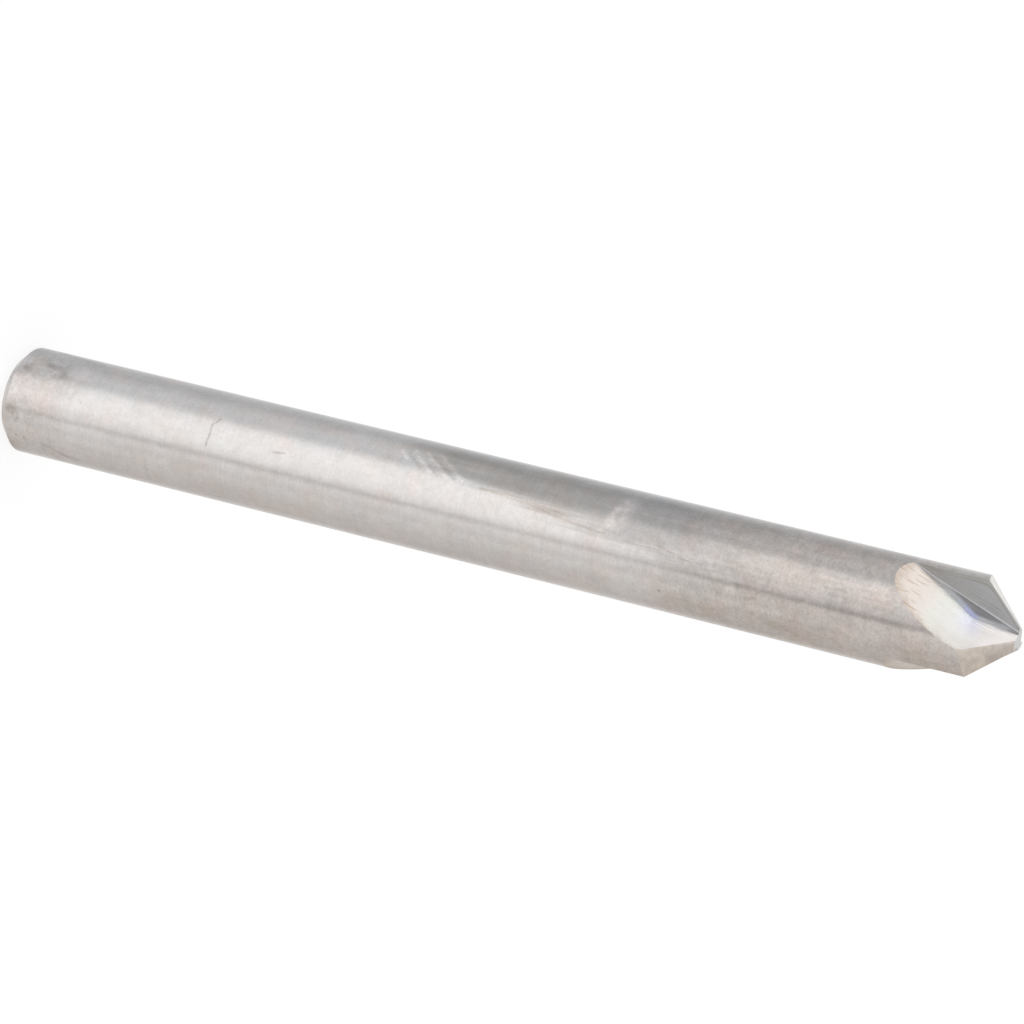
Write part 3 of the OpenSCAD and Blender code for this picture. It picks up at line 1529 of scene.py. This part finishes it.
@dataclass(frozen=True)
class Studio:
    """The white floor and the soft light that the metal mirrors.

    The light is a tent of pale sheets. Its tone goes by direction: an angle round the tool, from the
    photograph's camera towards the picture's top, and whether it is above or below the horizon.

    Args:
        floor_size: side of the floor, in metres.
        paper: tone of the floor in diffuse light.
        glow: strength of the white that the camera sees on the floor.
        glow_share: how much of that white covers the floor and its shadow.
        horizon: elevations between which the upper tent takes over from the lower one.
        low: tone of the tent below the horizon, as (angle, linear colour).
        high: the same above the horizon.
        cards: the darker cards that the metal mirrors.
    """

    floor_size: float = 6.0
    paper: float = 0.95
    glow: float = 1.03
    glow_share: float = 0.8
    horizon: Pair = (-6.0, 3.0)
    low: Tones = (
        (-180, 1.10),
        (-160, (0.98, 0.96, 0.94)),
        (-136, (0.75, 0.72, 0.70)),
        (-100, (0.86, 0.83, 0.81)),
        (-76, (0.97, 0.95, 0.93)),
        (-63, (1.14, 1.12, 1.10)),
        (-53, (1.33, 1.32, 1.31)),
        (-43, (1.17, 1.16, 1.15)),
        (-31.6, (1.17, 1.16, 1.15)),
        (-27, 0.42),
        (-22.8, (1.25, 1.24, 1.23)),
        (-4, 1.42),
        (10, 1.52),
        (32, (1.55, 1.54, 1.54)),
        (46, 1.50),
        (56, (1.11, 1.13, 1.145)),
        (68, (0.89, 0.92, 0.95)),
        (92, (0.765, 0.785, 0.815)),
        (116, (0.565, 0.59, 0.615)),
        (140, (0.68, 0.70, 0.72)),
        (164, (0.99, 1.00, 1.01)),
        (180, 1.10),
    )
    high: Tones = (
        (-180, 1.0),
        (-120, (0.80, 0.76, 0.73)),
        (-60, (0.85, 0.82, 0.80)),
        (-30, (0.92, 0.90, 0.89)),
        (0, (1.25, 1.24, 1.23)),
        (55, (1.22, 1.22, 1.24)),
        (70, (1.40, 1.38, 1.40)),
        (85, (1.50, 1.45, 1.42)),
        (112, (1.35, 1.34, 1.33)),
        (144, (1.28, 1.37, 1.47)),
        (180, 1.0),
    )
    cards: tuple[Card, ...] = (
        Card((57.0, 14.0), (8.0, 14.0), (0.48, 0.48, 0.485)),
        Card((-53.0, -22.5), (5.0, 12.0), (0.74, 0.735, 0.725)),
    )

    def build(self) -> bpy.types.Object:
        """Makes the world and the floor.

        Returns:
            The floor.
        """
        self._tent()
        return self._floor()

    def _tent(self) -> None:
        """Makes the world: white for the camera and for soft light, a tent of sheets for the metal."""
        world = bpy.data.worlds.new("light_tent")
        world.use_nodes = True
        bpy.context.scene.world = world
        bench = NodeBench(world.node_tree)
        way = bench.add("TexCoord").outputs["Generated"]
        x, y, z = bench.feed(bench.add("SeparateXYZ"), way).outputs
        turn = bench.math("ARCTAN2", bench.times(x, -1.0), bench.times(y, -1.0))
        share = bench.math("MULTIPLY_ADD", turn, 1 / (2 * math.pi), 0.5)
        low, high = (
            bench.ramp(share, tuple((angle / 360 + 0.5, tone) for angle, tone in ring))
            for ring in (self.low, self.high)
        )
        below, above = (math.sin(math.radians(v)) for v in self.horizon)
        tent = bench.blend(bench.rise(z, (below, above)), low, high)
        for card in self.cards:
            angle, lift = (math.radians(v) for v in card.way)
            middle = (-math.sin(angle) * math.cos(lift), -math.cos(angle) * math.cos(lift), math.sin(lift))
            full, gone = (math.cos(math.radians(v)) for v in card.reach)
            cover = bench.rise(bench.measure("DOT_PRODUCT", way, middle), (gone, full))
            tent = bench.blend(cover, tent, card.tone)
        seen = bench.tinted(bench.add("LightPath").outputs["Is Glossy Ray"], tent)
        light = bench.feed(bench.add("Background"), Color=seen, Strength=1.0)
        bench.feed(bench.add("OutputWorld"), Surface=light.outputs[0])

    def _floor(self) -> bpy.types.Object:
        """A plain white floor, which keeps the tool's soft shadow.

        Returns:
            The floor.
        """
        bm = bmesh.new()
        bmesh.ops.create_grid(bm, x_segments=8, y_segments=8, size=self.floor_size / 2)
        made = put_in_scene("floor", bm)
        material = bpy.data.materials.new("white_floor")
        material.use_nodes = True
        bench = NodeBench(material.node_tree)
        paper = bench.feed(bench.add("BsdfDiffuse"), Color=(self.paper, self.paper, self.paper))
        glow = bench.feed(bench.add("Emission"), Color=WHITE, Strength=self.glow)
        share = bench.times(bench.add("LightPath").outputs["Is Camera Ray"], self.glow_share)
        mixed = bench.feed(bench.add("MixShader"), share, paper.outputs[0], glow.outputs[0])
        bench.feed(bench.add("OutputMaterial"), Surface=mixed.outputs[0])
        made.data.materials.append(material)
        made.visible_glossy = False
        return made


SIZES = ToolSizes()
# Azimuths of the cutting edge and of the middle of the flute that the photograph shows
PHOTO_EDGE = SIZES.edge_azimuths[1]
PHOTO_FLUTE = PHOTO_EDGE + 46.5

ROUND_WEAR = RoundWear(
    radius=SIZES.shank_r,
    film=Coat(
        share=(
            (25.2, 0.0), (26.6, 0.5), (29.5, 0.95), (32, 1.0), (36, 1.1),
            (42, 1.1), (46, 0.7), (50, 0.3), (64, 0.2),
        ),
        tint=((26, (0.69, 0.675, 0.65)), (37, (0.67, 0.66, 0.645)), (41, (0.66, 0.665, 0.67)), (64, 0.68)),
    ),
    film_edge=((25.2, 52), (29.2, 64), (31.5, 72), (36.7, 87), (40.6, 95), (44, 102), (46, 104), (64, 104)),
    smoke=Coat(share=((41, 0.0), (44.5, 0.5), (48, 1.0), (64, 1.0)), tint=(0.875, 0.84, 0.815)),
    # Painted shade on the strip above the dark reflected line
    shade=Coat(share=((46, 0.0), (50, 1.0), (64, 1.0)), tint=(0.82, 0.82, 0.83)),
    end=Coat(share=((0, 1.0), (2.4, 0.8), (5.2, 0.0)), tint=(0.86, 0.83, 0.81)),
    mottle=((0, 0.06), (8, 0.034), (38, 0.036), (49, 0.070), (64, 0.072)),
    marks=(
        # Dark scratches and pits
        Marks((0.64, 0.63, 0.625), (
            (0.10, (62, 14.4), (66, 14.2), (69.4, 14.1), (94.5, 14.06)),
            (0.10, (83, 18.28), (83.2, 18.85), (81.6, 19.05)),
            (0.17, (130.2, 43.2), (130.6, 43.24)),
            (0.13, (134.5, 1.24), (134.9, 1.3)),
            (0.13, (136.3, 1.74), (136.7, 1.8)),
        )),
        # Dull scratches, and the gaps between the pale rubs
        Marks((0.84, 0.83, 0.825), (
            (0.17, (138.5, 3.0), (143, 3.7), (146, 4.0)),
            (0.24, (151, 4.7), (153.8, 5.3)),
            (0.16, (48, 26.4), (62, 27.4)),
            (0.16, (46, 27), (66, 28.6)),
            (0.16, (44, 27.8), (66, 29.7)),
            (0.38, (43.7, 3.4), (58, 3.7)),
            (0.20, (129.8, 48.9), (130.2, 48.94)),
            (0.50, (14, 2.4), (22, 5.2)),
        )),
        # The grimy middle of a scratch near the end
        Marks((0.76, 0.71, 0.69), ((0.22, (147.4, 4.1), (150, 4.5)),)),
        # Pinkish scratches along the edge of the film
        Marks((0.91, 0.84, 0.80), (
            (0.12, (68.9, 31.4), (72.7, 34.5), (79.6, 36.5), (84.4, 39.5)),
            (0.10, (67.2, 32.9), (74.5, 36.4), (76.4, 37.3)),
            (0.09, (83.2, 42.8), (92, 44.9)),
        )),
        # A band that has been rubbed bright
        Marks((1.34, 1.33, 1.325), ((0.95, (69, 39.95), (60, 40.1), (44.9, 40.2)),)),
        # Faint bright patches
        Marks((1.11, 1.11, 1.115), ((0.40, (85, 39), (87, 47)), (0.95, (48, 51.5), (52, 55.6)))),
        # Pale rubs across the film
        Marks((1.24, 1.23, 1.215), (
            (0.36, (74, 39.5), (55, 39.7)),
            (0.22, (45.9, 25.9), (54.8, 26.4)),
            (0.26, (42.4, 26.7), (63.8, 28.1)),
            (0.24, (41, 27.4), (66.1, 29.2)),
            (0.24, (39.6, 28.2), (65.2, 30.2)),
        )),
        # Warm streaks short of the flute
        Marks((1.05, 1.00, 0.99), (
            (0.13, (81.3, 53.4), (81.8, 56.6)),
            (0.13, (86, 54.2), (88.8, 57.3)),
            (0.13, (74, 52.6), (75, 55.8)),
        )),
        # Faded streaks and blotches
        Marks((0.89, 0.88, 0.875), (
            (0.20, (77.5, 52.4), (78.3, 56.2)),
            (0.20, (84, 53), (85, 56.9)),
            (0.22, (90, 53.5), (93, 57.6)),
            (0.22, (70, 52), (71, 55.4)),
            (0.80, (48, 2.2), (62, 3.9)),
            (1.00, (58, 1.4), (72, 3.2), (68, 5.0)),
            (0.45, (103, 47.9), (109, 49.6)),
            (0.34, (113, 48.6), (104, 51.6)),
            (0.40, (103.5, 53.5), (104.5, 58.5)),
        )),
        # Smudges near the end
        Marks((0.70, 0.68, 0.67), (
            (0.60, (55, 1.1), (61, 0.7)),
            (0.36, (45, 2.4), (46.5, 3.1)),
            (0.50, (104, 0.8), (112, 1.3)),
        )),
        # Tan patches on the lower side
        Marks((0.93, 0.905, 0.86), (
            (1.30, (138, 58.6), (152, 61)),
            (0.60, (138, 50.2), (146, 51.6)),
            (1.00, (136, 44), (142, 46.5)),
        )),
        # A rosy blotch on the end
        Marks((0.94, 0.885, 0.875), ((1.20, (72, 1.0), (84, 1.6), (90, 3.2)),)),
    ),
)

FLUTE_TINT = FluteTint(
    tones=(
        (56.5, (0.94, 0.90, 0.86)),
        (58.4, (0.96, 0.94, 0.92)),
        (59.4, (0.965, 1.02, 1.00)),
        (60.6, (0.96, 1.01, 1.035)),
        (61.6, (0.90, 0.92, 0.935)),
        (62.2, (0.945, 0.96, 0.98)),
        (63.5, (0.96, 0.98, 1.00)),
    ),
    fold=SIZES.root(PHOTO_EDGE),
    # Painted highlight along the fold, by height
    lift=(
        (58.4, 1.0),
        (59.4, 1.1),
        (60.6, (1.22, 1.22, 1.21)),
        (61.0, (1.36, 1.34, 1.31)),
        (61.4, (1.60, 1.57, 1.54)),
        (62.0, (1.46, 1.45, 1.43)),
        (62.7, 1.16),
        (63.5, 1.0),
    ),
    way=PHOTO_FLUTE,
    rest=(0.92, 0.89, 0.86),
    # Painted cool glint at the bend
    painted_cool_glint=(1.0, 1.03, 1.17),
    streak_tint=(0.81, 0.74, 0.67),
    rim_tint=(0.80, 0.765, 0.72),
)

ROOT_TINT = RootTint(
    # Painted light and shade along the facet: brightest towards the run-out, darkest a little short of the
    # tip
    tones=(
        (57.4, (1.35, 1.31, 1.28)),
        (59.0, (1.22, 1.20, 1.18)),
        (60.4, 1.05),
        (61.4, (0.95, 0.95, 0.96)),
        (63.5, (1.05, 1.05, 1.06)),
    ),
    bed=(SIZES.floor(PHOTO_EDGE), SIZES.runout(PHOTO_EDGE)),
    # Painted cool glint along the facet's lower edge
    glow=(
        (57.8, 1.0),
        (58.8, (1.38, 1.37, 1.35)),
        (59.7, (1.52, 1.61, 1.63)),
        (60.2, (1.60, 1.72, 1.84)),
        (60.5, (1.66, 1.74, 2.40)),
        (61.05, (1.68, 1.78, 2.50)),
        (61.35, (1.84, 1.84, 1.88)),
        (62.6, (1.74, 1.74, 1.76)),
        (63.3, 1.05),
    ),
    way=PHOTO_FLUTE,
)

RAKE_TINT = EdgeTint(
    radius=SIZES.shank_r,
    tip=(SIZES.tip_flat_d / 2, SIZES.overall_l),
    slope=math.tan(math.radians(SIZES.point_angle / 2)),
    width=0.27,
    lead=0.12,
    margin=(0.95, 0.95, 0.91),
    line=(0.78, 0.76, 0.73),
    tones=(
        (56.5, (0.96, 0.955, 0.95)),
        (60.5, (0.97, 0.965, 0.965)),
        (61.8, 1.0),
        (63.5, (1.08, 1.08, 1.09)),
    ),
)

FLANK_TINT = HeightTint(((60.0, (1.05, 1.04, 1.04)), (61.9, (1.07, 1.06, 1.05)), (63.0, (0.92, 0.92, 0.94))))
FOOT_TINT = HeightTint(((57.0, 0.90), (60.4, 0.82), (62.2, 0.97)))

FINISHES: dict[Surface, GroundFinish] = {
    Surface.SHANK: GroundFinish(
        name="ground_shank", colour=(0.60, 0.585, 0.575), stain=(0.60, 0.55, 0.52), stain_share=0.4,
        roughness=0.34, roughness_swing=0.02, anisotropy=0.9, line_pitch=0.09, line_depth=0.25, on_axis=True,
        wear=ROUND_WEAR,
    ),
    Surface.END: GroundFinish(
        name="ground_end", colour=(0.60, 0.585, 0.575), stain=(0.60, 0.54, 0.51), stain_share=0.4,
        roughness=0.36, anisotropy=0.5, line_pitch=0.1, line_depth=0.25, on_axis=True, wear=ROUND_WEAR,
    ),
    Surface.RAKE: GroundFinish(
        name="polished_rake", colour=(0.455, 0.455, 0.46), stain=(0.44, 0.42, 0.39), roughness=0.13,
        line_pitch=0.07, line_tone=0.05, wear=RAKE_TINT,
    ),
    Surface.FLOOR: GroundFinish(
        name="ground_floor", colour=(0.62, 0.60, 0.585), stain=(0.62, 0.58, 0.55), roughness=0.2,
        line_pitch=0.12, mottle=0.02, wear=FLUTE_TINT,
    ),
    Surface.ROOT: GroundFinish(
        name="ground_root", colour=(0.36, 0.36, 0.365), stain=(0.34, 0.34, 0.36), roughness=0.22,
        line_pitch=0.06, wear=ROOT_TINT,
    ),
    Surface.FLANK: GroundFinish(
        name="ground_flank", colour=(0.59, 0.547, 0.497), stain=(0.55, 0.49, 0.43), stain_share=0.5,
        roughness=0.24, roughness_swing=0.04, anisotropy=0.5, line_pitch=0.09, mottle=0.12, wear=FLANK_TINT,
    ),
    Surface.TIP: GroundFinish(
        name="ground_tip", colour=(0.56, 0.555, 0.545), stain=(0.54, 0.52, 0.49), roughness=0.25,
        anisotropy=0.3, line_pitch=0.09, mottle=0.03,
    ),
    Surface.FOOT: GroundFinish(
        name="ground_foot", colour=(0.47, 0.465, 0.48), stain=(0.44, 0.43, 0.46), stain_share=0.4,
        roughness=0.25, anisotropy=0.3, line_pitch=0.09, line_depth=0.1, line_tone=0.05, mottle=0.05,
        wear=FOOT_TINT,
    ),
}


def main() -> None:
    """Builds the tool and its stage around the frame, and keeps the CAD part hidden beside the tool."""
    logging.basicConfig(level=logging.INFO, format="%(message)s")
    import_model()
    camera = PhotoCamera().build()
    LOG.info("%s: lens %.1f mm", camera.name, camera.data.lens)
    shop = CarbideShop()
    body = ToolBody(SIZES).build()
    for surface in Surface:
        body.data.materials.append(shop.make(FINISHES[surface]))
    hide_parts("chamfer_mill")
    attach(body, "root")
    LOG.info("%s: %d faces, %d finishes", body.name, len(body.data.polygons), len(body.data.materials))
    floor = Studio().build()
    LOG.info("%s: %.1f m across", floor.name, floor.dimensions.x)
    bpy.context.scene.view_settings.view_transform = "Standard"


if __name__ == "__main__":
    main()
